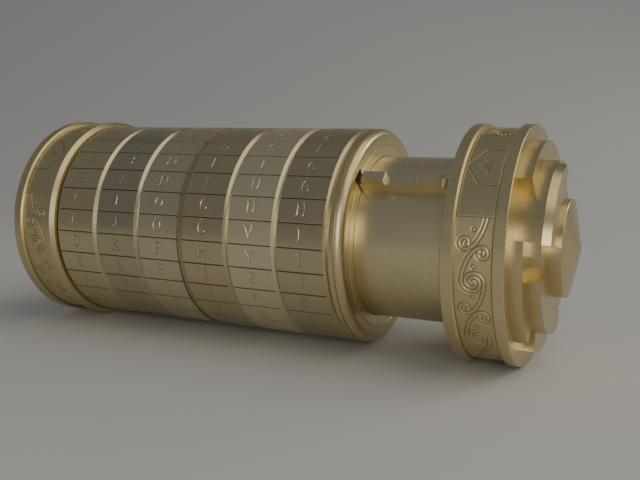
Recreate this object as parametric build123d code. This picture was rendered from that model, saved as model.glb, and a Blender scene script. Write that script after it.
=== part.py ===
# Cylindrical combination lock box: a slotted barrel carrying six letter rings, and a core tube with a
# toothed key rail that slides out of it. Lies on its two flanges, axis along X, lengths in millimetres.
import os
from math import cos, radians, sin

from build123d import *

os.makedirs("parts", exist_ok=True)

# --- radii, built outwards from the core tube
tube_r = 24.85          # outside of the core tube
tube_wall = 2.0
sleeve_clear = 0.08     # running fit of the tube in the sleeve
sleeve_wall = 3.32
bore_clear = 0.08       # running fit of the lock rings on the sleeve
tooth_bite = 1.45       # how far the teeth stand above the sleeve
tooth_head = 0.5        # room over the teeth
gate_rim = 1.0          # metal left over the gate in a lock ring
letter_wall = 2.12      # letter ring outside its lock ring
rim_rise = 1.68         # flanges above the letter rings
band_sink = 0.32        # floor of the flange recess below the letter rings
band_rise = 0.60        # relief strip and pointer plate above the letter rings

sleeve_in = tube_r + sleeve_clear
sleeve_r = sleeve_in + sleeve_wall
lock_in = sleeve_r + bore_clear
tooth_r = sleeve_r + tooth_bite
channel_r = tooth_r + tooth_head
lock_r = channel_r + gate_rim
ring_r = lock_r + letter_wall
flange_r = ring_r + rim_rise
floor_r = ring_r - band_sink
band_r = ring_r + band_rise

# --- lengths along the axis, from the outer face of the left cap
rim_w = 3.5             # width of each flange rim
band_w = 10.1           # recess between the two rims
cap_wall = 3.5          # end wall of each cap
washer_t = 0.25
washer_gap = 0.05
ring_w = 16.5           # one letter ring
ring_gap = 0.10         # running gap between neighbouring rings
ring_count = 6
end_ring_w = 5.0
end_round = 2.4         # end ring: quarter round from its crown to its face
end_groove_w, end_groove_d = 0.3, 0.35   # groove at the foot of the quarter round
closed_gap = 0.14       # end ring to right cap when the core is home
cap_edge = 0.2          # chamfer on the caps' outer corners
rim_edge = 0.5          # chamfer on the recess side of the rims
stack_edge = 1.2        # chamfer of the left cap towards the letter rings
strip_fit = 0.05        # side room of what lies in the recess
plate_fit = 0.25        # degrees between the pointer plate and the relief strip
relief_ground = 0.35    # relief strip below the face of the pointer plate
sleeve_edge = 0.18

# --- letter rings and lock rings
letters = 29            # places round a ring
letter_step = 360 / letters
groove_at = -0.5        # first groove, degrees up from the front
groove_w = 0.42         # side of the square tool that cuts it corner first
edge_bevel = 0.85
step_w = 0.85           # square steps in place of the bevels where the third and fourth rings meet
step_d = 0.3
step_after = 3
web_at = 1.4            # lock ring set back from the left face of its letter ring
web_w = 4.0
pin_r = 0.8

# --- key rail
key_at = 43.2           # the reading line, degrees up from the front
key_w = 3.4
key_side = 0.35         # side room of the key in its slots
slot_half = key_w / 2 + key_side
mouth_side = 0.50       # wider mouth in the end ring
mouth_head = 0.60
base_top = sleeve_r - 0.18
tooth_len = 7.14
tooth_end = 3.92        # right end of the first tooth, back from the right cap
rail_end = 2.94         # right end of the rail, back from the right cap
tooth_count = ring_count + 1
rail_tail = 4.0         # rail beyond its last tooth
tube_tail = 3.14        # tube beyond the rail
rest_clear = 0.58       # drawn out, the teeth stand this far past the gates
slot_room = 0.8         # slots run on beyond the rail by this much
screw_r, screw_len = 0.8, 3.6
screw_head_r, screw_head_t = 1.5, 0.9
plug_t, plug_in = 4.0, 0.4
coin_slot_w, coin_slot_d = 2.2, 2.0

# --- places along the axis that follow from the sizes above
cap_w = 2 * rim_w + band_w
pitch = ring_w + ring_gap
stack_x = cap_w + washer_t + washer_gap
end_x = stack_x + ring_count * pitch
barrel_x = end_x + end_ring_w
pulled = pitch + web_at + web_w + rest_clear + tooth_len + tooth_end - end_ring_w
cap2_x = barrel_x + pulled
cap2_end = cap2_x + cap_w
rail_x1 = cap2_x - rail_end
first_tooth = cap2_x - tooth_end
last_tooth = first_tooth - (tooth_count - 1) * pitch - tooth_len
rail_x0 = last_tooth - rail_tail
tube_x0 = rail_x0 - tube_tail
tube_x1 = cap2_end - cap_wall
home = pulled - closed_gap      # travel from rest to closed

# --- pointer plate in each flange
plate_from, plate_to = 19.7, 70.7
arrow_mid = 45.5
arrow_half = 6.2        # half height of the pentagon on the plate
arrow_tip = 0.35        # plate edge to its tip
arrow_back = 5.1        # length of its straight sides
mark_tip, mark_len, mark_half = 2.9, 4.1, 3.5   # triangle sunk inside the pentagon
line_w = 0.45
line_d = 0.35

# --- stepped rosette on the right cap
layer1_r, layer1_in, layer1_t = 30.4, 24.85, 3.5
layer2_in, layer2_t = 19.6, 3.5
layer3_t = 2.3
hub_r, hub_t, hub_rise = 14.1, 3.5, 3.1
stud_r = 3.0
stud_head_r, stud_head_t = 5.5, 2.6
stud_grip = 2.5         # stud into the hub
break_edge = 0.12
block_from, block_to = 9.5, 80.0
block_drop = 0.6        # fall of its outer wall towards its face

tip_x = cap2_end + layer1_t + layer2_t + hub_t + hub_rise
frame_shift = Pos(-tip_x / 2, 0, flange_r)


def disc(radius, x0, x1):
    """Plain cylinder about the X axis."""
    return Pos((x0 + x1) / 2, 0, 0) * Rot(0, 90, 0) * Cylinder(radius, x1 - x0)


def turned(points):
    """Body of revolution about X from (x, radius) points."""
    return revolve(make_face(Polyline(*points, close=True)), axis=Axis.X)


def ring(r_out, r_in, x0, x1):
    return disc(r_out, x0, x1) - disc(r_in, x0 - 1, x1 + 1)


def wedge(a0, a1, x0, x1, reach=60.0):
    """Prism covering the angles a0 to a1, measured up from the front (-Y)."""
    steps = max(1, int((a1 - a0) // 25) + 1)
    rim = [a0 + (a1 - a0) * k / steps for k in range(steps + 1)]
    points = [(0, 0)] + [(-reach * cos(radians(a)), reach * sin(radians(a))) for a in rim]
    face = make_face(Polyline(*points, close=True))
    return extrude(Plane.YZ.offset(x0) * face, x1 - x0)


def keyway(half_w, r0, r1, x0, x1):
    """Straight slot along the axis at the reading line."""
    box = Pos((x0 + x1) / 2, -(r0 + r1) / 2, 0) * Box(x1 - x0, r1 - r0, 2 * half_w)
    return Rot(-key_at, 0, 0) * box


def save(shape, node):
    shape = frame_shift * shape
    shape.label = node
    export_step(shape, f"parts/{node}.step")
    print(node, round(shape.volume, 1), len(shape.solids()))


def flange_profile(x0, mirrored, bore_r):
    """Cup with two rims: closed at its outer end, bored from its inner end."""
    b, e, far = cap_edge, rim_edge, rim_w + band_w
    inner = cap_edge if mirrored else stack_edge
    outer = [(0, 0), (0, flange_r - b), (b, flange_r), (rim_w - e, flange_r), (rim_w, flange_r - e),
             (rim_w, floor_r), (far, floor_r), (far, flange_r - e), (far + e, flange_r),
             (cap_w - inner, flange_r), (cap_w, flange_r - inner), (cap_w, bore_r), (cap_wall, bore_r), (cap_wall, 0)]
    if mirrored:
        return turned([(x0 + cap_w - x, r) for x, r in outer])
    return turned([(x0 + x, r) for x, r in outer])


def relief_strip(x0):
    """Strip wrapped round the recess, its ends meeting the pointer plate."""
    strip = ring(band_r - relief_ground, floor_r, x0 + strip_fit, x0 + band_w - strip_fit)
    return strip - wedge(plate_from, plate_to, x0 - 1, x0 + band_w + 1)


def pointer_plate(x0, mirrored):
    """Smooth plate with a five-sided arrow scribed round a small triangle."""
    plate = ring(band_r, floor_r, x0 + strip_fit, x0 + band_w - strip_fit)
    plate = plate & wedge(plate_from + plate_fit, plate_to - plate_fit, x0 - 1, x0 + band_w + 1)
    back = band_w - arrow_tip
    knee = back - arrow_back
    outline = [(arrow_tip, 0), (knee, arrow_half), (back, arrow_half)]
    outline += [(x, -side) for x, side in outline[:0:-1]]
    in_tip, in_knee = arrow_tip + 1.7 * line_w, knee + 0.4 * line_w
    in_back, in_half = back - line_w, arrow_half - line_w
    inner = [(in_tip, 0), (in_knee, in_half), (in_back, in_half), (in_back, -in_half), (in_knee, -in_half)]
    triangle = [(mark_tip, 0), (mark_tip + mark_len, mark_half), (mark_tip + mark_len, -mark_half)]
    if mirrored:
        outline = [(band_w - x, y) for x, y in outline]
        inner = [(band_w - x, y) for x, y in inner]
        triangle = [(band_w - x, y) for x, y in triangle]
    down = Plane((x0, 0, 0), x_dir=(1, 0, 0), z_dir=(0, -1, 0))

    def column(points):
        return Rot(-arrow_mid, 0, 0) * extrude(down * make_face(Polyline(*points, close=True)), 60)

    skin = ring(band_r + 2, band_r - line_d, x0 - 1, x0 + band_w + 1)
    plate = plate - ((column(outline) - column(inner)) & skin)
    return plate - (column(triangle) & skin)


def letter_ring(x0, number):
    """Outer ring: bevelled edges, a seat for the lock ring, and a channel the teeth lie in."""
    x1 = x0 + ring_w
    left = [(x0, ring_r - edge_bevel), (x0 + edge_bevel, ring_r)]
    right = [(x1 - edge_bevel, ring_r), (x1, ring_r - edge_bevel)]
    if number == step_after:
        right = [(x1 - step_w, ring_r), (x1 - step_w, ring_r - step_d), (x1, ring_r - step_d)]
    if number == step_after + 1:
        left = [(x0, ring_r - step_d), (x0 + step_w, ring_r - step_d), (x0 + step_w, ring_r)]
    web_end = x0 + web_at + web_w
    body = turned([(x0, lock_r)] + left + right + [(x1, channel_r), (web_end, channel_r), (web_end, lock_r)])
    face_from, face_to = left[-1][0], right[0][0]
    side = groove_w
    bar = Pos((face_from + face_to) / 2, -ring_r, 0) * Rot(45, 0, 0) * Box(face_to - face_from, side, side)
    for k in range(letters):
        body = body - Rot(-(groove_at + k * letter_step), 0, 0) * bar
    return body - index_pin(x0)


def lock_ring(x0):
    """Gate washer: one notch lets the teeth through at the reading line."""
    web = ring(lock_r, lock_in, x0 + web_at, x0 + web_at + web_w)
    web = web - keyway(slot_half, sleeve_in, channel_r, x0, x0 + ring_w)
    return web - index_pin(x0)


def index_pin(x0):
    """Dowel on the joint between the two rings, opposite the gate."""
    return Rot(-key_at + 180, 0, 0) * Pos(0, -lock_r, 0) * disc(pin_r, x0 + web_at, x0 + web_at + web_w)


# --- barrel: left cap, its trim, the slotted sleeve, washer and end ring
left_cap = flange_profile(0, False, sleeve_r)
left_cap = left_cap - keyway(slot_half, sleeve_in, channel_r, last_tooth - home - slot_room, cap_w + 1)
save(left_cap, "left_cap")
save(relief_strip(rim_w), "left_relief")
save(pointer_plate(rim_w, True), "left_pointer")

c = sleeve_edge
sleeve = turned([(cap_wall, sleeve_in), (cap_wall, sleeve_r), (barrel_x - c, sleeve_r),
                 (barrel_x, sleeve_r - c), (barrel_x, sleeve_in + c), (barrel_x - c, sleeve_in)])
sleeve = sleeve - keyway(slot_half, sleeve_in - 3, sleeve_r + 3, rail_x0 - home - slot_room, barrel_x + 1)
save(sleeve, "barrel_sleeve")
save(ring(lock_r, channel_r, cap_w, cap_w + washer_t), "stack_washer")

round_x = barrel_x - end_round
end_ring = turned([(end_x, sleeve_r), (end_x, ring_r - edge_bevel), (end_x + edge_bevel, ring_r),
                   (barrel_x, ring_r), (barrel_x, sleeve_r + c), (barrel_x - c, sleeve_r)])
rim = end_ring.edges().filter_by(GeomType.CIRCLE).group_by(Axis.X)[-1].sort_by(SortBy.LENGTH)[-1]
end_ring = fillet(rim, end_round)
end_ring = end_ring - ring(flange_r, ring_r - end_groove_d, round_x - end_groove_w, round_x)
end_ring = end_ring - keyway(key_w / 2 + mouth_side, sleeve_in, tooth_r + mouth_head, end_x - 1, barrel_x + 1)
save(end_ring, "end_ring")

# --- six letter rings, each with its lock ring and index pin
for n in range(ring_count):
    at = stack_x + n * pitch
    save(letter_ring(at, n + 1), f"letter_ring_{n + 1}")
    save(lock_ring(at), f"lock_ring_{n + 1}")
    save(index_pin(at), f"index_pin_{n + 1}")

# --- core: tube, plug, toothed rail and its screws
def rail_screw(x):
    """Countersunk screw from inside the tube into the rail."""
    inside = tube_r - tube_wall
    shank = Pos(x, -(inside + screw_len / 2), 0) * Rot(90, 0, 0) * Cylinder(screw_r, screw_len)
    head = Pos(x, -(inside + screw_head_t / 2), 0) * Rot(90, 0, 0) * Cone(screw_head_r, screw_r, screw_head_t)
    return Rot(-key_at, 0, 0) * ((shank + head) - disc(inside, x - 3, x + 3))


screws = [rail_screw(first_tooth - (k + 0.5) * pitch - tooth_len / 2) for k in (0, 2, 4, 5)]
rail = keyway(key_w / 2, tube_r - 3, base_top, rail_x0, rail_x1)
for k in range(tooth_count):
    right_end = first_tooth - k * pitch
    tooth = keyway(key_w / 2, base_top - 1, tooth_r, right_end - tooth_len, right_end)
    rail = rail + chamfer(tooth.edges().group_by(Axis.X)[0] + tooth.edges().group_by(Axis.X)[-1], 0.2)
rail = rail - disc(tube_r, rail_x0 - 1, rail_x1 + 1)
tube = ring(tube_r, tube_r - tube_wall, tube_x0, tube_x1)
for screw in screws:
    rail = rail - screw
    tube = tube - screw
save(tube, "core_tube")
save(rail, "key_rail")
save(Compound(screws), "rail_screws")

plug_x = tube_x0 + plug_in
plug = disc(tube_r - tube_wall, plug_x, plug_x + plug_t)
save(plug - Pos(plug_x, 0, 0) * Box(2 * coin_slot_d, tube_r, coin_slot_w), "core_plug")

# --- right cap, its trim and the stepped rosette on one central stud
right_cap = flange_profile(cap2_x, True, tube_r)
save(right_cap - disc(stud_r, cap2_end - cap_wall - 1, cap2_end + 1), "right_cap")
save(relief_strip(cap2_x + rim_w), "right_relief")
save(pointer_plate(cap2_x + rim_w, False), "right_pointer")


def notched(r_out, r_in, x0, thick, gaps):
    """Crisp-edged disc with sector gaps cut down from r_out to r_in."""
    body = disc(r_out, x0, x0 + thick)
    for a0, a1 in gaps:
        body = body - (ring(r_out + 3, r_in, x0 - 1, x0 + thick + 1) & wedge(a0, a1, x0 - 1, x0 + thick + 1))
    return body - disc(stud_r, x0 - 1, x0 + thick + 1)


step1_x = cap2_end + layer1_t
step2_x = step1_x + layer2_t
hub_x = step2_x + hub_t
layer1_gaps = [(10.8, 44.0), (-69.5, -52.3), (150, 185), (-150, -112)]
layer2_gaps = [(-14.0, 2.3), (120, 160), (-150, -108)]
save(notched(layer1_r, layer1_in, cap2_end, layer1_t, layer1_gaps), "rosette_layer_1")
save(notched(layer1_in, layer2_in, step1_x, layer2_t, layer2_gaps), "rosette_layer_2")

block_x = step2_x + layer3_t
block = turned([(step2_x, hub_r), (step2_x, layer1_in), (block_x, layer1_in - block_drop), (block_x, hub_r)])
save(block & wedge(block_from, block_to, step2_x - 1, hub_x), "rosette_layer_3")

b = break_edge
hub = turned([(step2_x, 0), (step2_x, hub_r), (hub_x - b, hub_r), (hub_x, hub_r - b), (tip_x, 0)])
stud_end = step2_x + stud_grip
save(hub - disc(stud_r, step2_x - 1, stud_end), "rosette_hub")
stud = disc(stud_r, tube_x1, stud_end) + disc(stud_head_r, tube_x1 - stud_head_t, tube_x1)
save(stud - Pos(tube_x1 - stud_head_t, 0, 0) * Box(stud_head_t, 3 * stud_head_r, coin_slot_w), "rosette_stud")
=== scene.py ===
"""Looks of the cryptex: engraved letter rings, scrolled flanges and drawn core tube in satin brass."""
from math import cos, pi, radians, sin

import bpy
import numpy as np
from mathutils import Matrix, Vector


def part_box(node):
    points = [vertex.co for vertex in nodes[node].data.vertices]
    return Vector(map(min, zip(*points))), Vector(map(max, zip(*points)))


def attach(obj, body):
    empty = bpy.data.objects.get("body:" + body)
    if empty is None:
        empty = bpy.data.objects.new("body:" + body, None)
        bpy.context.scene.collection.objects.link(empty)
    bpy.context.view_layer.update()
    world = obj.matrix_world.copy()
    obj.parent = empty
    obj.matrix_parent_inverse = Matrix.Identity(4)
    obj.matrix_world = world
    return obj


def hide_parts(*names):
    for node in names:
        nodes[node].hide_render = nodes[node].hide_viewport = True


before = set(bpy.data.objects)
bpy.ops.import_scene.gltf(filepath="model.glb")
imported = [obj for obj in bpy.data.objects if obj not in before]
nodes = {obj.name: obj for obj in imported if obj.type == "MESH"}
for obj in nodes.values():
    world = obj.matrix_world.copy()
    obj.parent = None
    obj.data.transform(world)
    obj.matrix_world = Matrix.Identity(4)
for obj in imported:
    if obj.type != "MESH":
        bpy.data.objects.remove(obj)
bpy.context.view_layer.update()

# ---- Camera and studio
# The cryptex lies on a seamless pale sweep under one broad warm lamp, overhead and to the right, with
# a low soft fill in front and a small lamp behind. The camera stands a hand's breadth above the table.
tube_low, tube_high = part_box("core_tube")
axis_z = tube_low.z / 2 + tube_high.z / 2
camera_place = (0.12318, -0.23408, 0.07161)
yaw, pitch = radians(26.108), radians(-8.606)
camera_data = bpy.data.cameras.new("camera")
camera_data.lens, camera_data.sensor_width = 45.36, 36
camera_data.clip_start = 0.01
camera = bpy.data.objects.new("camera", camera_data)
camera.location = camera_place
camera.rotation_euler = (radians(90) + pitch, 0, yaw)
bpy.context.scene.collection.objects.link(camera)
bpy.context.scene.camera = camera

sweep_near, sweep_far, sweep_bend, sweep_top, sweep_half = -1.6, 0.35, 1.5, 2.6, 3.0
bend_steps = 32
profile = [(sweep_near, 0.0), (sweep_far, 0.0)]
for step in range(1, bend_steps + 1):
    turn = step / bend_steps * pi / 2
    profile.append((sweep_far + sweep_bend * sin(turn), sweep_bend * (1 - cos(turn))))
profile.append((sweep_far + sweep_bend, sweep_top))
sweep_mesh = bpy.data.meshes.new("sweep")
corners = []
for away, height in profile:
    for side in (-sweep_half, sweep_half):
        corners.append((-sin(yaw) * away + cos(yaw) * side, cos(yaw) * away + sin(yaw) * side, height))
panels = [(2 * k, 2 * k + 1, 2 * k + 3, 2 * k + 2) for k in range(len(profile) - 1)]
sweep_mesh.from_pydata(corners, [], panels)
sweep_mesh.polygons.foreach_set("use_smooth", [True] * len(panels))
sweep = bpy.data.objects.new("sweep", sweep_mesh)
bpy.context.scene.collection.objects.link(sweep)
paper = bpy.data.materials.new("sweep_paper")
paper.use_nodes = True
paper_shader = paper.node_tree.nodes["Principled BSDF"]
paper_shader.inputs["Base Color"].default_value = (0.66, 0.655, 0.64, 1)
paper_shader.inputs["Roughness"].default_value = 0.75
paper_shader.inputs["Specular IOR Level"].default_value = 0.25
sweep_mesh.materials.append(paper)


def lamp(name, place, aim, size, power, colour):
    """A soft square lamp at a place, turned towards a point."""
    data = bpy.data.lights.new(name, "AREA")
    data.shape, data.size = "SQUARE", size
    data.energy, data.color = power, colour
    light = bpy.data.objects.new(name, data)
    light.location = place
    light.rotation_euler = (Vector(aim) - Vector(place)).to_track_quat("-Z", "Y").to_euler()
    bpy.context.scene.collection.objects.link(light)


lamp("key_lamp", (0.80, 0.02, 0.92), (0.08, 0, 0), 1.45, 6.2, (1.0, 0.94, 0.84))
lamp("front_lamp", (0.48, -1.05, 0.30), (-0.05, -0.06, 0.0), 0.6, 3.4, (1.0, 0.97, 0.92))
lamp("rear_lamp", (0.75, 0.85, 0.60), (0.1, 0, 0.02), 0.3, 1.6, (1.0, 0.88, 0.72))
world = bpy.data.worlds.new("studio")
world.use_nodes = True
sky = world.node_tree.nodes["Background"]
sky.inputs["Color"].default_value = (0.82, 0.86, 0.92, 1)
sky.inputs["Strength"].default_value = 0.20
bpy.context.scene.world = world


# ---- Brass
# Every outside piece is the same cast and turned brass, gone dull with handling: cloudy tarnish, faint
# turning marks round the axis, and a dark colour down in the cuts, partly dirt and partly painted shade.
def socket(group, name, kind, way, value=None):
    """A named input or output of a node group."""
    made = group.interface.new_socket(name=name, in_out=way, socket_type=kind)
    if value is not None:
        made.default_value = value


def join(tree, *pairs):
    """Links pairs of an output and an input."""
    for out, into in pairs:
        tree.links.new(out, into)


def mathnode(tree, operation, first, second, clamp=False):
    """A Math node; a number or a socket goes into each side."""
    node = tree.nodes.new("ShaderNodeMath")
    node.operation, node.use_clamp = operation, clamp
    for side, value in enumerate((first, second)):
        if isinstance(value, (int, float)):
            node.inputs[side].default_value = value
        else:
            tree.links.new(value, node.inputs[side])
    return node.outputs[0]


def mixed(tree, share, first, second):
    """A colour between two, by a share from 0 to 1."""
    node = tree.nodes.new("ShaderNodeMix")
    node.data_type = "RGBA"
    join(tree, (share, node.inputs["Factor"]), (first, node.inputs["A"]), (second, node.inputs["B"]))
    return node.outputs["Result"]


aged = bpy.data.node_groups.new("aged_brass", "ShaderNodeTree")
socket(aged, "Metal", "NodeSocketColor", "INPUT", (0.6, 0.52, 0.35, 1))
socket(aged, "Tarnish", "NodeSocketColor", "INPUT", (0.4, 0.33, 0.2, 1))
socket(aged, "Dirt and Shade", "NodeSocketColor", "INPUT", (0.10, 0.075, 0.04, 1))
socket(aged, "Roughness", "NodeSocketFloat", "INPUT", 0.34)
socket(aged, "Tarnish Amount", "NodeSocketFloat", "INPUT", 0.5)
socket(aged, "Turning", "NodeSocketFloat", "INPUT", 0.5)
socket(aged, "Color", "NodeSocketColor", "OUTPUT")
socket(aged, "Roughness", "NodeSocketFloat", "OUTPUT")
socket(aged, "Height", "NodeSocketFloat", "OUTPUT")
given = aged.nodes.new("NodeGroupInput")
result = aged.nodes.new("NodeGroupOutput")
place = aged.nodes.new("ShaderNodeTexCoord").outputs["Object"]


def cloud(tree, scale, detail, rough, vector):
    """Soft noise; a larger scale gives smaller grains."""
    node = tree.nodes.new("ShaderNodeTexNoise")
    node.inputs["Scale"].default_value = scale
    node.inputs["Detail"].default_value = detail
    node.inputs["Roughness"].default_value = rough
    tree.links.new(vector, node.inputs["Vector"])
    return node.outputs["Fac"]


def span(tree, value, low, high):
    """Stretches low..high to 0..1 and clips it."""
    node = tree.nodes.new("ShaderNodeMapRange")
    node.inputs["From Min"].default_value = low
    node.inputs["From Max"].default_value = high
    tree.links.new(value, node.inputs["Value"])
    return node.outputs["Result"]


split = aged.nodes.new("ShaderNodeSeparateXYZ")
join(aged, (place, split.inputs[0]))
above = mathnode(aged, "SUBTRACT", split.outputs["Z"], axis_z)
above_squared = mathnode(aged, "MULTIPLY", above, above)
beside_squared = mathnode(aged, "MULTIPLY", split.outputs["Y"], split.outputs["Y"])
radius = mathnode(aged, "SQRT", mathnode(aged, "ADD", above_squared, beside_squared), 0)
lathe = aged.nodes.new("ShaderNodeCombineXYZ")
join(aged, (split.outputs["X"], lathe.inputs["X"]), (radius, lathe.inputs["Y"]))
streak_draw = 9                                     # how much longer the streaks run round than along
around = aged.nodes.new("ShaderNodeCombineXYZ")
join(aged, (mathnode(aged, "MULTIPLY", split.outputs["X"], streak_draw), around.inputs["X"]),
     (split.outputs["Y"], around.inputs["Y"]), (split.outputs["Z"], around.inputs["Z"]))

cut = aged.nodes.new("ShaderNodeAttribute")
cut.attribute_name = "cut"
patch_grain, mottle_grain, turning_grain, brush_grain, pit_grain = 55, 620, 2600, 230, 2400
patch_share, mottle_share, dirt_and_shade_share = 0.55, 0.45, 0.85
tarnish_rough, dirt_and_shade_rough, brush_rough = 0.16, 0.2, 0.12
mottle_height, pit_height = 0.35, 0.25
patches = span(aged, cloud(aged, patch_grain, 5, 0.6, place), 0.38, 0.68)
mottle = span(aged, cloud(aged, mottle_grain, 4, 0.65, place), 0.35, 0.7)
turned = cloud(aged, turning_grain, 2, 0.6, lathe.outputs[0])
brushed = cloud(aged, brush_grain, 3, 0.6, around.outputs[0])
pits = cloud(aged, pit_grain, 2, 0.5, place)
stains = mathnode(aged, "ADD", mathnode(aged, "MULTIPLY", patches, patch_share),
                  mathnode(aged, "MULTIPLY", mottle, mottle_share))
dull = mathnode(aged, "MULTIPLY", given.outputs["Tarnish Amount"], stains)
# The cut mask darkens the colour here: partly dirt, partly painted shade down in the cuts.
dirt_and_shade = mathnode(aged, "MULTIPLY", cut.outputs["Fac"], dirt_and_shade_share, clamp=True)
tone = mixed(aged, dull, given.outputs["Metal"], given.outputs["Tarnish"])
tone = mixed(aged, dirt_and_shade, tone, given.outputs["Dirt and Shade"])
rough = mathnode(aged, "ADD", given.outputs["Roughness"], mathnode(aged, "MULTIPLY", dull, tarnish_rough))
rough = mathnode(aged, "ADD", rough, mathnode(aged, "MULTIPLY", dirt_and_shade, dirt_and_shade_rough))
streaks = mathnode(aged, "SUBTRACT", brushed, 0.5)
rough = mathnode(aged, "ADD", rough, mathnode(aged, "MULTIPLY", streaks, brush_rough))
marks = mathnode(aged, "MULTIPLY", turned, given.outputs["Turning"])
height = mathnode(aged, "ADD", marks, mathnode(aged, "MULTIPLY", mottle, mottle_height))
height = mathnode(aged, "ADD", height, mathnode(aged, "MULTIPLY", pits, pit_height))
join(aged, (tone, result.inputs["Color"]), (rough, result.inputs["Roughness"]),
     (height, result.inputs["Height"]))


def brass(name, metal, tarnish, roughness, amount, turning, bump):
    """A brass finish: the group makes the surface, and the metal shader shines it."""
    made = bpy.data.materials.new(name)
    made.use_nodes = True
    tree = made.node_tree
    shader = tree.nodes["Principled BSDF"]
    shader.inputs["Metallic"].default_value = 1.0
    surface = tree.nodes.new("ShaderNodeGroup")
    surface.node_tree = aged
    surface.inputs["Metal"].default_value = (*metal, 1)
    surface.inputs["Tarnish"].default_value = (*tarnish, 1)
    surface.inputs["Roughness"].default_value = roughness
    surface.inputs["Tarnish Amount"].default_value = amount
    surface.inputs["Turning"].default_value = turning
    relief = tree.nodes.new("ShaderNodeBump")
    relief.inputs["Distance"].default_value = bump
    relief.inputs["Strength"].default_value = 0.35
    join(tree, (surface.outputs["Color"], shader.inputs["Base Color"]),
         (surface.outputs["Roughness"], shader.inputs["Roughness"]),
         (surface.outputs["Height"], relief.inputs["Height"]),
         (relief.outputs["Normal"], shader.inputs["Normal"]))
    return made


# ---- Letter rings, lock rings and index pins
# Six bevelled brass rings have 29 places each, parted by sawn grooves, with a capital punched in every
# place and its top towards larger elevation. Inside each ring, a steel pin fixes the brass lock ring
# that stops the key.
deep_gold = (0.57, 0.47, 0.27)                      # tarnish on all the brass but the rosette's


def coat(names, made):
    """Gives each CAD piece that keeps its drawn shape its one material."""
    for name in names:
        nodes[name].data.materials.clear()
        nodes[name].data.materials.append(made)


def finish(piece, made, crisp):
    """Gives a piece its one material and smooth faces up to an angle."""
    piece.data.materials.clear()
    piece.data.materials.append(made)
    piece.data.polygons.foreach_set("use_smooth", [True] * len(piece.data.polygons))
    piece.data.set_sharp_from_angle(angle=radians(crisp))


def wrapped_sheet(name, along, angles, radii, closed_round, masks):
    """A closed band round the axis: along and radii give its section, turned through the angles.

    along has one x for each column, angles one elevation for each row, radii a row by column table.
    """
    rows, columns = radii.shape
    turn = np.radians(angles)[:, None]
    points = np.empty((rows, columns, 3))
    points[..., 0] = np.broadcast_to(along, (rows, columns))
    points[..., 1] = -radii * np.cos(turn)
    points[..., 2] = axis_z + radii * np.sin(turn)
    index = np.arange(rows * columns).reshape(rows, columns)
    here = index if closed_round else index[:-1]
    ahead = np.roll(index, -1, 0) if closed_round else index[1:]
    quads = np.stack([here, np.roll(here, -1, 1), np.roll(ahead, -1, 1), ahead], -1).reshape(-1, 4)
    faces = quads.tolist()
    if not closed_round:
        faces += [index[0, ::-1].tolist(), index[-1].tolist()]
    mesh = bpy.data.meshes.new(name)
    mesh.from_pydata(points.reshape(-1, 3).tolist(), [], faces)
    for mask, values in masks.items():
        layer = mesh.attributes.new(mask, "FLOAT", "POINT")
        layer.data.foreach_set("value", np.broadcast_to(values, radii.shape).astype(np.float32).ravel())
    piece = bpy.data.objects.new(name, mesh)
    bpy.context.scene.collection.objects.link(piece)
    return piece


def bow(x, y, wide, tall, start, stop, steps=10):
    """Points along part of an ellipse, for a letter's round stroke."""
    turns = [radians(start + (stop - start) * k / steps) for k in range(steps + 1)]
    return [(x + wide * cos(t), y + tall * sin(t)) for t in turns]


stem = [(0.1, 0), (0.1, 1)]
tail = [(0.4, 0), (0.46, -0.11), (0.34, -0.2)]
dots = [[(0.24, 1.2), (0.25, 1.2)], [(0.54, 1.2), (0.55, 1.2)]]
c_curve = [bow(0.42, 0.5, 0.36, 0.5, 50, 310, 16)]
g_curve = c_curve + [[(0.68, 0.12), (0.68, 0.42), (0.46, 0.42)]]
o_curve = [bow(0.4, 0.5, 0.36, 0.5, 0, 360, 20)]
s_curve = [bow(0.36, 0.75, 0.26, 0.25, 30, 270, 10) + bow(0.36, 0.25, 0.28, 0.25, 90, -150, 10)]
u_curve = [[(0.08, 1), (0.08, 0.32)] + bow(0.38, 0.32, 0.3, 0.32, 180, 360) + [(0.68, 0.32), (0.68, 1)]]
p_bowl = [(0.1, 1), (0.4, 1)] + bow(0.4, 0.74, 0.26, 0.26, 90, -90) + [(0.1, 0.48)]
b_bowl = [(0.1, 0.5), (0.42, 0.5)] + bow(0.42, 0.25, 0.28, 0.25, 90, -90) + [(0.1, 0)]
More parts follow.
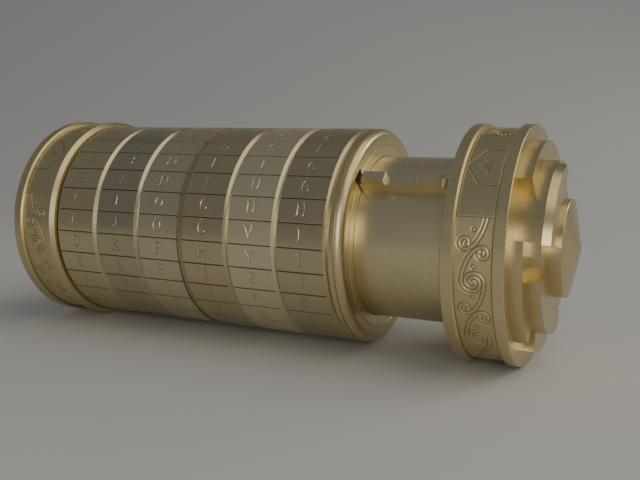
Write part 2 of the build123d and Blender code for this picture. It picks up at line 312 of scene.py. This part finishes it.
stamps = {
    "A": ([[(0, 0), (0.4, 1), (0.8, 0)], [(0.16, 0.36), (0.64, 0.36)]], [(0, 0), (0.8, 0)]),
    "B": ([stem, p_bowl, b_bowl], []),
    "C": (c_curve, []),
    "Ccedilla": (c_curve + [tail], []),
    "D": ([stem, [(0.1, 1), (0.32, 1)] + bow(0.32, 0.5, 0.38, 0.5, 90, -90, 14) + [(0.1, 0)]], []),
    "E": ([stem, [(0.1, 1), (0.6, 1)], [(0.1, 0.52), (0.5, 0.52)], [(0.1, 0), (0.63, 0)]], []),
    "F": ([stem, [(0.1, 1), (0.6, 1)], [(0.1, 0.52), (0.48, 0.52)]], [(0.1, 0)]),
    "G": (g_curve, []),
    "Gbreve": (g_curve + [bow(0.42, 1.3, 0.15, 0.13, 200, 340, 5)], []),
    "H": ([stem, [(0.7, 0), (0.7, 1)], [(0.1, 0.52), (0.7, 0.52)]],
          [(0.1, 0), (0.1, 1), (0.7, 0), (0.7, 1)]),
    "I": ([[(0.4, 0), (0.4, 1)]], [(0.4, 0), (0.4, 1)]),
    "Idot": ([[(0.4, 0), (0.4, 1)], [(0.4, 1.22), (0.41, 1.22)]], [(0.4, 0), (0.4, 1)]),
    "J": ([[(0.52, 1), (0.52, 0.26)] + bow(0.32, 0.26, 0.2, 0.26, 0, -165)], [(0.52, 1)]),
    "K": ([stem, [(0.64, 1), (0.1, 0.4)], [(0.28, 0.6), (0.7, 0)]], [(0.1, 0), (0.1, 1), (0.7, 0)]),
    "L": ([stem, [(0.1, 0), (0.62, 0)]], [(0.1, 1)]),
    "M": ([[(0, 0), (0.06, 1), (0.42, 0.25), (0.78, 1), (0.84, 0)]], [(0, 0), (0.84, 0)]),
    "N": ([[(0.08, 0), (0.08, 1), (0.7, 0), (0.7, 1)]], [(0.08, 0), (0.7, 1)]),
    "O": (o_curve, []),
    "Odots": (o_curve + dots, []),
    "P": ([stem, p_bowl], [(0.1, 0)]),
    "R": ([stem, p_bowl, [(0.38, 0.48), (0.7, 0)]], [(0.1, 0)]),
    "S": (s_curve, []),
    "Scedilla": (s_curve + [tail], []),
    "T": ([[(0.06, 1), (0.74, 1)], [(0.4, 1), (0.4, 0)]], [(0.4, 0)]),
    "U": (u_curve, [(0.08, 1), (0.68, 1)]),
    "Udots": (u_curve + dots, [(0.08, 1), (0.68, 1)]),
    "V": ([[(0.02, 1), (0.4, 0), (0.78, 1)]], [(0.02, 1), (0.78, 1)]),
    "Y": ([[(0.04, 1), (0.4, 0.48), (0.76, 1)], [(0.4, 0.48), (0.4, 0)]], [(0.4, 0)]),
    "Z": ([[(0.08, 1), (0.68, 1), (0.08, 0), (0.72, 0)]], []),
}
alphabet = list(stamps)


def nearest(x, y, strokes):
    """Distance from each point to the nearest stroke."""
    best = np.full(np.broadcast(x, y).shape, 9.0)
    for stroke in strokes:
        for (x0, y0), (x1, y1) in zip(stroke, stroke[1:]):
            run = (x1 - x0) ** 2 + (y1 - y0) ** 2
            share = np.clip(((x - x0) * (x1 - x0) + (y - y0) * (y1 - y0)) / max(run, 1e-12), 0, 1)
            best = np.minimum(best, np.hypot(x - x0 - share * (x1 - x0), y - y0 - share * (y1 - y0)))
    return best


def stroke_cut(distance, half, wall):
    """1 on the floor of a cut, falling to 0 over its sloping wall."""
    return np.clip((half + wall / 2 - distance) / wall, 0, 1)


mm = 0.001
cap_height, cap_width, serif_half = 3.5, 3.5, 0.34
stroke_half, stroke_wall, stroke_depth, stroke_dirt_and_shade = 0.185, 0.16, 0.16, 0.3
ring_low, ring_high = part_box("letter_ring_1")
ring_r = (ring_high.z - ring_low.z) / 2
places = 29
place_turn = 360 / places
groove_turn, reading_place = -0.5, 3
groove_deep = 0.3
bevel = 0.85
step_deep, step_after = 0.3, 3                      # square steps, not bevels, between rings 3 and 4
# Painted shadow: the floor and wall of the square step, and the brink of the face beside it, are darkened
# in colour.
step_floor_painted_shade, step_wall_painted_shade, step_brink_painted_shade = 0.1, 0.7, 0.5
# Painted light and shade: each ring gets its own lighter or darker base colour, rings 5 and 3 lightest,
# for the different shading of the rings.
ring_painted_light_tones = [(0.68, 0.58, 0.35), (0.58, 0.51, 0.34), (0.72, 0.64, 0.42),
              (0.64, 0.55, 0.34), (0.80, 0.72, 0.48), (0.60, 0.52, 0.33)]
ring_polish = [0.28, 0.22, 0.32, 0.28, 0.40, 0.30]
seat_r, seat_w, channel_r = ring_r - 2.12 * mm, 5.4, ring_r - 3.12 * mm
mm_turn = np.degrees(mm / ring_r)                   # degrees for one millimetre of the face
first_letters = ["A", "H", "M", "E", "T", "G"]      # the letter each ring shows on the reading line
letter_lift = 0.7                                   # degrees from a place's middle up to its letter's

groove_rows = np.array([-0.30, -0.21, -0.08, 0.08, 0.21, 0.30]) * mm_turn
letter_fine = 0.155                                 # spacing of the mesh where a letter is cut
letter_below, letter_above, letter_beside = 2.65, 3.15, 2.15
letter_rows = np.arange(-letter_below, letter_above, letter_fine) * mm_turn + place_turn / 2 + letter_lift
rows_below, row_above = [1.1, 1.9], place_turn - 1.0
place_rows = np.concatenate([groove_rows, rows_below, letter_rows, [row_above]])
ring_rows = np.concatenate([groove_turn + k * place_turn + place_rows for k in range(places)])
groove_shape = np.zeros(len(place_rows))
groove_shape[1:5] = [0.15, 1, 1, 0.15]
brink, plain = 0.14, 3                              # columns beside a bevel and outside the letters
core_brass = brass("core_brass", (0.74, 0.65, 0.41), deep_gold, 0.32, 0.45, 0.7, 0.00004)
inner_steel = brass("inner_steel", (0.56, 0.57, 0.58), (0.30, 0.29, 0.28), 0.30, 0.4, 0.6, 0.00003)

for ring in range(6):
    low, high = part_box(f"letter_ring_{ring + 1}")
    low_x, high_x = low.x / mm, high.x / mm
    face_from, face_to = low_x + bevel, high_x - bevel
    middle = (face_from + face_to) / 2
    face = [face_from, face_from + brink, face_from + plain]
    face += list(np.arange(middle - letter_beside, middle + letter_beside + 0.01, letter_fine))
    face = np.array(face + [face_to - plain, face_to - brink, face_to])
    cell = len(place_rows)
    cuts = np.zeros((len(ring_rows), len(face)))
    dirt_and_shade_mask = np.zeros_like(cuts)
    on_face = (face > face_from + 0.05) & (face < face_to - 0.05)
    for k in range(places):
        rows = slice(k * cell, (k + 1) * cell)
        cuts[rows] = groove_shape[:, None] * groove_deep * on_face
        letter = alphabet[(alphabet.index(first_letters[ring]) + reading_place - k) % places]
        strokes, feet = stamps[letter]
        marks = [[(x * cap_width, y * cap_height) for x, y in stroke] for stroke in strokes]
        for x, y in feet:
            foot_x, foot_y = x * cap_width, y * cap_height
            marks.append([(foot_x - serif_half, foot_y), (foot_x + serif_half, foot_y)])
        wide = max(x for mark in marks for x, y in mark) + min(x for mark in marks for x, y in mark)
        up = (place_rows - place_turn / 2 - letter_lift) / mm_turn + cap_height / 2
        gap = nearest((face - middle + wide / 2)[None, :], up[:, None], marks)
        stroke = stroke_cut(gap, stroke_half, stroke_wall)
        cuts[rows] = np.maximum(cuts[rows], stroke * stroke_depth)
        # Grooves and letter strokes are darkened in colour: partly dirt, partly painted shade down in the
        # cuts.
        dirt_and_shade_mask[rows] = np.maximum(stroke * stroke_dirt_and_shade, groove_shape[:, None] * on_face)
    top = ring_r - cuts * mm
    full = np.ones((len(ring_rows), 1))
    left_drop = step_deep if ring == step_after else bevel
    right_drop = step_deep if ring + 1 == step_after else bevel
    left_x, left_r = [low_x, low_x], [seat_r, ring_r - left_drop * mm]
    right_x, right_r = [high_x], [ring_r - right_drop * mm]
    left_painted_shade, right_painted_shade = [0, 0], [0]
    # Painted shadow along the step between rings 3 and 4.
    if ring == step_after:
        left_x, left_r = left_x + [face_from], left_r + [ring_r - step_deep * mm]
        left_painted_shade = [0, step_floor_painted_shade, step_wall_painted_shade]
        dirt_and_shade_mask[:, 0] = step_brink_painted_shade
    if ring + 1 == step_after:
        right_x, right_r = [face_to] + right_x, [ring_r - step_deep * mm] + right_r
        right_painted_shade = [step_wall_painted_shade, step_floor_painted_shade]
        dirt_and_shade_mask[:, -1] = step_brink_painted_shade
    right_x += [high_x, low_x + seat_w, low_x + seat_w]
    right_r += [channel_r, channel_r, seat_r]
    right_painted_shade += [0, 0, 0]
    along = np.array(left_x + list(face) + right_x) * mm
    radii = np.hstack([full * np.array(left_r), top, full * np.array(right_r)])
    dirt_and_shade_mask = np.hstack([full * np.array(left_painted_shade), dirt_and_shade_mask, full * np.array(right_painted_shade)])
    skin = wrapped_sheet(f"letter_skin_{ring + 1}", along, ring_rows, radii, True, {"cut": dirt_and_shade_mask})
    dial_brass = brass(f"dial_brass_{ring + 1}", ring_painted_light_tones[ring], deep_gold, ring_polish[ring],
                       0.4, 0.4, 0.000015)
    finish(skin, dial_brass, 35)
    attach(skin, f"dial_{ring + 1}")
    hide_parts(f"letter_ring_{ring + 1}")
    coat([f"lock_ring_{ring + 1}"], core_brass)
    coat([f"index_pin_{ring + 1}"], inner_steel)


# ---- Scrolled relief strips
# A cast strip lies in the recess of each flange: flat ribbons outlined by grooves, in double spirals
# joined by slanting stems with balled hooks, ten times round. The left strip is the mirror image.
plate_low, plate_high = 19.7, 70.7
strip_turn = 360 - (plate_high - plate_low)
repeats = 10
repeat_turn = strip_turn / repeats
scroll_centre = -9.3                                # elevation of the middle repeat
scroll_r = ring_r / mm + 0.6
arc_mm = radians(1) * scroll_r                      # millimetres of arc for one degree
spiral_turns, spiral_in, spiral_out = 1.25, 0.25, 3.05
hook_x, hook_y, hook_r, ball_r = 2.3, 7.75, 1.75, 0.6
hook_turn, hook_shrink = 300, 0.5                   # the hook turns this far and closes to half its size
stem_pull, hook_pull = 3.6, -0.7
spiral_steps, hook_steps = 60, 24


def curved_stem(start, lean, arrive, end, steps=14):
    """A smooth bend through two end points and two pulls."""
    out = []
    for k in range(steps + 1):
        t = k / steps
        weights = ((1 - t) ** 3, 3 * t * (1 - t) ** 2, 3 * t * t * (1 - t), t ** 3)
        pulls = list(zip(weights, (start, lean, arrive, end)))
        out.append(tuple(sum(w * p[i] for w, p in pulls) for i in (0, 1)))
    return out


def one_arm():
    """Half of the scroll: out of the spiral, along the stem and round the hook."""
    arm = []
    for k in range(spiral_steps + 1):
        share = k / spiral_steps
        turn = pi + (1 - share) * spiral_turns * 2 * pi
        size = spiral_in + (spiral_out - spiral_in) * share
        arm.append((size * cos(turn), size * sin(turn)))
    hook_top = (hook_x, hook_y + hook_r)
    arm = arm[:-1] + curved_stem((-spiral_out, 0), (-spiral_out, stem_pull),
                                 (hook_pull, hook_y + hook_r), hook_top)
    for k in range(1, hook_steps + 1):
        share = k / hook_steps
        turn = radians(90 - hook_turn * share)
        size = hook_r * (1 - hook_shrink * share)
        arm.append((hook_x + size * cos(turn), hook_y + size * sin(turn)))
    return arm


arm = one_arm()
other_arm = [(-x, -y) for x, y in arm]
balls = [arm[-1], other_arm[-1]]
beads = [(0.18, 4.27), (-0.18, -4.27)]
ribbon_half, bead_r = 0.37, 0.36
away_steps, drop_steps = [0.0, 0.28, 0.44, 0.56, 0.76], [0.0, 0.02, 0.22, 0.22, 0.05]
rim_sunk = 0.3                                      # how far a strip's sides go into the recess
strip_columns, repeat_rows, strip_dirt_and_shade = 62, 116, 0.7
relief_brass = brass("relief_brass", (0.74, 0.62, 0.35), deep_gold, 0.38, 0.6, 0.0, 0.00003)


def scroll_drop(x, y, own):
    """Depth of the cast scroll below its ribbons' tops, in mm; own gives the middle repeat's strokes."""
    away = np.full(np.broadcast(x, y).shape, 9.0)
    for lift in (-1, 0, 1):
        shifted = y - lift * repeat_turn * arc_mm
        away = np.minimum(away, nearest(x, shifted, own if lift == 0 else [arm, other_arm]))
        for spots, size in ((balls, ball_r), (beads, bead_r)):
            for bx, by in spots:
                away = np.minimum(away, np.hypot(x - bx, shifted - by) - size + ribbon_half)
    return np.interp(away, away_steps, drop_steps)


for side, body, mirror in (("left", "barrel", -1), ("right", "core", 1)):
    low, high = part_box(f"{side}_relief")
    low_x, high_x = low.x / mm, high.x / mm
    middle = (low_x + high_x) / 2
    face = np.arange(low_x, high_x + 0.01, (high_x - low_x) / strip_columns)
    rows = plate_high + np.arange(repeats * repeat_rows + 1) / repeat_rows * repeat_turn
    y = (rows - 360 - scroll_centre) * arc_mm
    y = (y + repeat_turn * arc_mm / 2) % (repeat_turn * arc_mm) - repeat_turn * arc_mm / 2
    across = mirror * (face - middle)[None, :]
    unit = scroll_drop(across, y[:repeat_rows, None], [arm, other_arm])
    drop = np.vstack([unit] * repeats + [unit[:1]])
    last = rows > 360 + scroll_centre + repeat_turn / 2    # under the plate only stems and hooks fit
    drop[last] = scroll_drop(across, y[last, None], [arm[spiral_steps:], other_arm[spiral_steps:]])
    ends = np.full((len(rows), 1), ring_r - rim_sunk * mm)
    along = np.concatenate([[low_x], face, [high_x]]) * mm
    radii = np.hstack([ends, (scroll_r - drop) * mm, ends])
    # The grooves round the ribbons are darkened in colour by their depth: partly dirt, partly painted
    # shade.
    depth = np.hstack([ends * 0, drop / drop_steps[3], ends * 0])
    strip = wrapped_sheet(f"{side}_scroll", along, rows, radii, False, {"cut": depth ** 2 * strip_dirt_and_shade})
    finish(strip, relief_brass, 60)
    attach(strip, body)
    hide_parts(f"{side}_relief")


# ---- Pointer plates
# A smooth plate closes the gap in each scrolled strip. A five-sided arrow is scribed on it, open where
# it meets the rim, with a small sunk triangle inside.
arrow_turn = 45.5
arrow_tip, arrow_side, arrow_half = 0.35, 5.45, 6.2
mark_tip, mark_long, mark_half = 2.9, 4.1, 3.5
line_half, line_wall, line_depth = 0.10, 0.16, 0.14
mark_slope, mark_depth, mark_dirt_and_shade = 0.8, 0.10, 0.2
edge_round, edge_drop = 0.3, 0.15
plate_columns, plate_fine, plate_gap = 64, 0.27, 0.25
flange_brass = brass("flange_brass", (0.70, 0.59, 0.34), deep_gold, 0.30, 0.55, 0.5, 0.00005)
for side, body, mirror in (("left", "barrel", -1), ("right", "core", 1)):
    low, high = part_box(f"{side}_pointer")
    low_x, high_x = low.x / mm, high.x / mm
    wide = high_x - low_x
    face = np.arange(0, wide + 0.01, wide / plate_columns)
    rows = np.arange(plate_low + plate_gap, plate_high - plate_gap + 0.01, plate_fine)
    up = (rows - arrow_turn) * arc_mm
    x = (face if mirror == 1 else wide - face)[None, :]
    outline = [(wide, arrow_half), (wide - arrow_side, arrow_half), (arrow_tip, 0),
               (wide - arrow_side, -arrow_half), (wide, -arrow_half)]
    lines = stroke_cut(nearest(x, up[:, None], [outline]), line_half, line_wall)
    flank = (x - mark_tip) * mark_half / mark_long - np.abs(up[:, None])
    inside = np.minimum(mark_tip + mark_long - x, flank)
    sunk = np.clip(inside / mark_slope, 0, 1)
    from_sides, from_ends = np.minimum(face, wide - face), np.minimum(up - up[0], up[-1] - up)
    border = np.minimum(from_sides[None, :], from_ends[:, None])
    rounding = np.clip(1 - border / edge_round, 0, 1) ** 2 * edge_drop
    top = (scroll_r - line_depth * lines - mark_depth * sunk - rounding) * mm
    ends = np.full((len(rows), 1), (ring_r / mm - rim_sunk) * mm)
    along = np.concatenate([[low_x], low_x + face, [high_x]]) * mm
    radii = np.hstack([ends, top, ends])
    # The scribed lines and the sunk triangle are darkened in colour: partly dirt, partly painted shade.
    depth = np.hstack([ends * 0, np.maximum(lines, mark_dirt_and_shade * sunk), ends * 0])
    plate = wrapped_sheet(f"{side}_arrow_plate", along, rows, radii, False, {"cut": depth})
    finish(plate, flange_brass, 50)
    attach(plate, body)
    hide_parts(f"{side}_pointer")


# ---- Flanges and end ring
# The two cups with their raised rims and the ring that holds the stack are turned from brass bar and
# dulled by handling. They keep their drawn shape.
coat(["left_cap", "right_cap", "end_ring"], flange_brass)


# ---- Barrel sleeve, core tube and key rail
# The slotted sleeve, the drawn tube, its plug and the toothed rail are paler, since they slide in each
# other and are handled less. Steel screws hold the rail.
coat(["barrel_sleeve", "stack_washer", "core_tube", "core_plug", "key_rail"], core_brass)
coat(["rail_screws"], inner_steel)


# ---- Rosette
# Notched plates of brass are stacked on the right flange under a hub with a shallow cone, and a steel
# stud through the middle holds them. They are polished a little more than the flanges.
rosette_brass = brass("rosette_brass", (0.66, 0.55, 0.30), (0.52, 0.42, 0.23), 0.27, 0.5, 0.6, 0.00005)
coat(["rosette_layer_1", "rosette_layer_2", "rosette_layer_3", "rosette_hub"], rosette_brass)
coat(["rosette_stud"], inner_steel)
